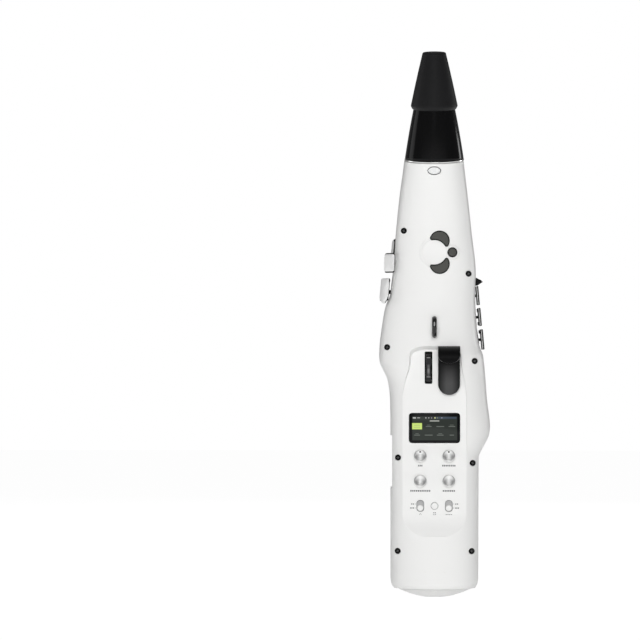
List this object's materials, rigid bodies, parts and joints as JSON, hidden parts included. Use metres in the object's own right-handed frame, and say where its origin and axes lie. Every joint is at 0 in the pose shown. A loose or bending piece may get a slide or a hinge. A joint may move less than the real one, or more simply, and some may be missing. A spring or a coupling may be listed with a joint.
{
  "type": "digital wind controller",
  "caption": "Sax-style digital wind controller with a white winged body, leaning black neck, capped mouthpiece, rear control panel, thumb hook, strap ring and sprung keys.",
  "frame": {"origin": "middle of the strap ring's loop, behind the body", "axes": "+Z along the body towards the mouthpiece, -Y towards the player, +X to the player's right"},
  "size_m": [0.1167, 0.0978, 0.5717],
  "materials": {
    "white_shell": "white moulded plastic with a soft gloss",
    "bright_ring": "bright plated ring",
    "black_gloss": "piano black",
    "black_matt": "fine matt black",
    "reed": "dark composite reed",
    "lens": "milky lens",
    "touch_pad": "dark grey touch pad",
    "dark_steel": "dark plated steel",
    "screen": "black screen window",
    "circuit": "green circuit board",
    "knob": "turned face",
    "port_grey": "light grey panel",
    "battery": "blue shrink wrap",
    "key_chrome": "bright plated key"
  },
  "bodies": {
    "case": {"rear_shell": "white_shell", "front_shell": "white_shell", "bottom_cap": "white_shell", "palm_key_bracket": "white_shell", "neck_ring": "bright_ring", "neck_barrel": "black_gloss", "mouthpiece_beak": "black_gloss", "rocker_frame": "black_gloss", "phones_jack": "black_gloss", "thumb_hook": "black_matt", "side_key_bracket": "black_matt", "breath_sensor": "black_matt", "display_module": "black_matt", "mouthpiece_reed": "reed", "status_lens": "lens", "air_tube": "lens", "octave_up_pad": "touch_pad", "octave_down_pad": "touch_pad", "thumb_pad": "touch_pad", "strap_ring": "dark_steel", "port_board": "dark_steel", "case_screw_1": "dark_steel", "case_screw_2": "dark_steel", "case_screw_3": "dark_steel", "case_screw_4": "dark_steel", "case_screw_5": "dark_steel", "case_screw_6": "dark_steel", "case_screw_7": "dark_steel", "case_screw_8": "dark_steel", "screen_glass": "screen", "control_board": "circuit", "main_board": "circuit", "port_panel": "port_grey", "battery_pack": "battery"},
    "mouthpiece_cap": {"mouthpiece_cap": "black_matt"},
    "bend_rocker": {"bend_rocker": "black_gloss"},
    "upper_left_knob": {"upper_left_knob": "knob"},
    "upper_right_knob": {"upper_right_knob": "knob"},
    "lower_left_knob": {"lower_left_knob": "knob"},
    "lower_right_knob": {"lower_right_knob": "knob"},
    "left_slide_switch": {"left_slide_switch": "white_shell"},
    "right_slide_switch": {"right_slide_switch": "white_shell"},
    "push_button": {"push_button": "white_shell"},
    "palm_key_1": {"palm_key_1": "key_chrome"},
    "palm_key_2": {"palm_key_2": "key_chrome"},
    "palm_key_3": {"palm_key_3": "key_chrome"},
    "side_key_1": {"side_key_1": "key_chrome"},
    "side_key_2": {"side_key_2": "key_chrome"},
    "side_key_3": {"side_key_3": "key_chrome"},
    "upper_key_1": {"upper_key_1": "key_chrome"},
    "upper_key_2": {"upper_key_2": "key_chrome"},
    "upper_key_3": {"upper_key_3": "key_chrome"},
    "upper_key_4": {"upper_key_4": "key_chrome"},
    "lower_key_1": {"lower_key_1": "key_chrome"},
    "lower_key_2": {"lower_key_2": "key_chrome"},
    "lower_key_3": {"lower_key_3": "key_chrome"},
    "left_pinky_key_1": {"left_pinky_key_1": "key_chrome"},
    "left_pinky_key_2": {"left_pinky_key_2": "key_chrome"},
    "right_pinky_key_1": {"right_pinky_key_1": "key_chrome"},
    "right_pinky_key_2": {"right_pinky_key_2": "key_chrome"}
  },
  "joints": [
    {"name": "mouthpiece_cap_slide", "type": "slide", "parent": "case", "child": "mouthpiece_cap", "axis": [0, -0.2164, 0.9763], "range_m": [0, 0.075]},
    {"name": "bend_rocker_hinge", "type": "hinge", "parent": "case", "child": "bend_rocker", "pos_m": [-0.0062, 0.0192, -0.0425], "axis": [1, 0, 0], "range_deg": [-6, 6], "stiffness_Nm_per_rad": 0.05},
    {"name": "upper_left_knob_turn", "type": "hinge", "parent": "case", "child": "upper_left_knob", "pos_m": [-0.0149, 0.013, -0.1346], "axis": [0, 1, 0], "range_deg": [-150, 150]},
    {"name": "upper_right_knob_turn", "type": "hinge", "parent": "case", "child": "upper_right_knob", "pos_m": [0.0149, 0.013, -0.1346], "axis": [0, 1, 0], "range_deg": [-150, 150]},
    {"name": "lower_left_knob_turn", "type": "hinge", "parent": "case", "child": "lower_left_knob", "pos_m": [-0.0149, 0.013, -0.1607], "axis": [0, 1, 0], "continuous": true},
    {"name": "lower_right_knob_turn", "type": "hinge", "parent": "case", "child": "lower_right_knob", "pos_m": [0.0149, 0.013, -0.1607], "axis": [0, 1, 0], "continuous": true},
    {"name": "left_slide_switch_slide", "type": "slide", "parent": "case", "child": "left_slide_switch", "axis": [0, 0, 1], "range_m": [0, 0.0044]},
    {"name": "right_slide_switch_slide", "type": "slide", "parent": "case", "child": "right_slide_switch", "axis": [0, 0, 1], "range_m": [0, 0.0044]},
    {"name": "push_button_slide", "type": "slide", "parent": "case", "child": "push_button", "axis": [0, 1, 0], "range_m": [0, 0.0006], "stiffness_N_per_m": 800},
    {"name": "palm_key_1_slide", "type": "slide", "parent": "case", "child": "palm_key_1", "axis": [0.9606, 0.2574, -0.1045], "range_m": [0, 0.0015], "stiffness_N_per_m": 250},
    {"name": "palm_key_2_slide", "type": "slide", "parent": "case", "child": "palm_key_2", "axis": [0.4993, 0.8648, -0.0523], "range_m": [0, 0.0015], "stiffness_N_per_m": 250},
    {"name": "palm_key_3_slide", "type": "slide", "parent": "case", "child": "palm_key_3", "axis": [0.8341, 0.5417, -0.1045], "range_m": [0, 0.0015], "stiffness_N_per_m": 250},
    {"name": "side_key_1_slide", "type": "slide", "parent": "case", "child": "side_key_1", "axis": [-0.9938, -0.0695, -0.0872], "range_m": [0, 0.0015], "stiffness_N_per_m": 250},
    {"name": "side_key_2_slide", "type": "slide", "parent": "case", "child": "side_key_2", "axis": [-0.9938, -0.0695, -0.0872], "range_m": [0, 0.0015], "stiffness_N_per_m": 250},
    {"name": "side_key_3_slide", "type": "slide", "parent": "case", "child": "side_key_3", "axis": [-0.9938, -0.0695, -0.0872], "range_m": [0, 0.0015], "stiffness_N_per_m": 250},
    {"name": "upper_key_1_slide", "type": "slide", "parent": "case", "child": "upper_key_1", "axis": [0, -1, 0], "range_m": [0, 0.002], "stiffness_N_per_m": 200},
    {"name": "upper_key_2_slide", "type": "slide", "parent": "case", "child": "upper_key_2", "axis": [0, -1, 0], "range_m": [0, 0.002], "stiffness_N_per_m": 200},
    {"name": "upper_key_3_slide", "type": "slide", "parent": "case", "child": "upper_key_3", "axis": [0, -1, 0], "range_m": [0, 0.002], "stiffness_N_per_m": 200},
    {"name": "upper_key_4_slide", "type": "slide", "parent": "case", "child": "upper_key_4", "axis": [0, -1, 0], "range_m": [0, 0.002], "stiffness_N_per_m": 200},
    {"name": "lower_key_1_slide", "type": "slide", "parent": "case", "child": "lower_key_1", "axis": [0, -1, 0], "range_m": [0, 0.002], "stiffness_N_per_m": 200},
    {"name": "lower_key_2_slide", "type": "slide", "parent": "case", "child": "lower_key_2", "axis": [0, -1, 0], "range_m": [0, 0.002], "stiffness_N_per_m": 200},
    {"name": "lower_key_3_slide", "type": "slide", "parent": "case", "child": "lower_key_3", "axis": [0, -1, 0], "range_m": [0, 0.002], "stiffness_N_per_m": 200},
    {"name": "left_pinky_key_1_slide", "type": "slide", "parent": "case", "child": "left_pinky_key_1", "axis": [0, -1, 0], "range_m": [0, 0.002], "stiffness_N_per_m": 200},
    {"name": "left_pinky_key_2_slide", "type": "slide", "parent": "case", "child": "left_pinky_key_2", "axis": [0, -1, 0], "range_m": [0, 0.002], "stiffness_N_per_m": 200},
    {"name": "right_pinky_key_1_slide", "type": "slide", "parent": "case", "child": "right_pinky_key_1", "axis": [0, -1, 0], "range_m": [0, 0.002], "stiffness_N_per_m": 200},
    {"name": "right_pinky_key_2_slide", "type": "slide", "parent": "case", "child": "right_pinky_key_2", "axis": [0, -1, 0], "range_m": [0, 0.002], "stiffness_N_per_m": 200}
  ]
}
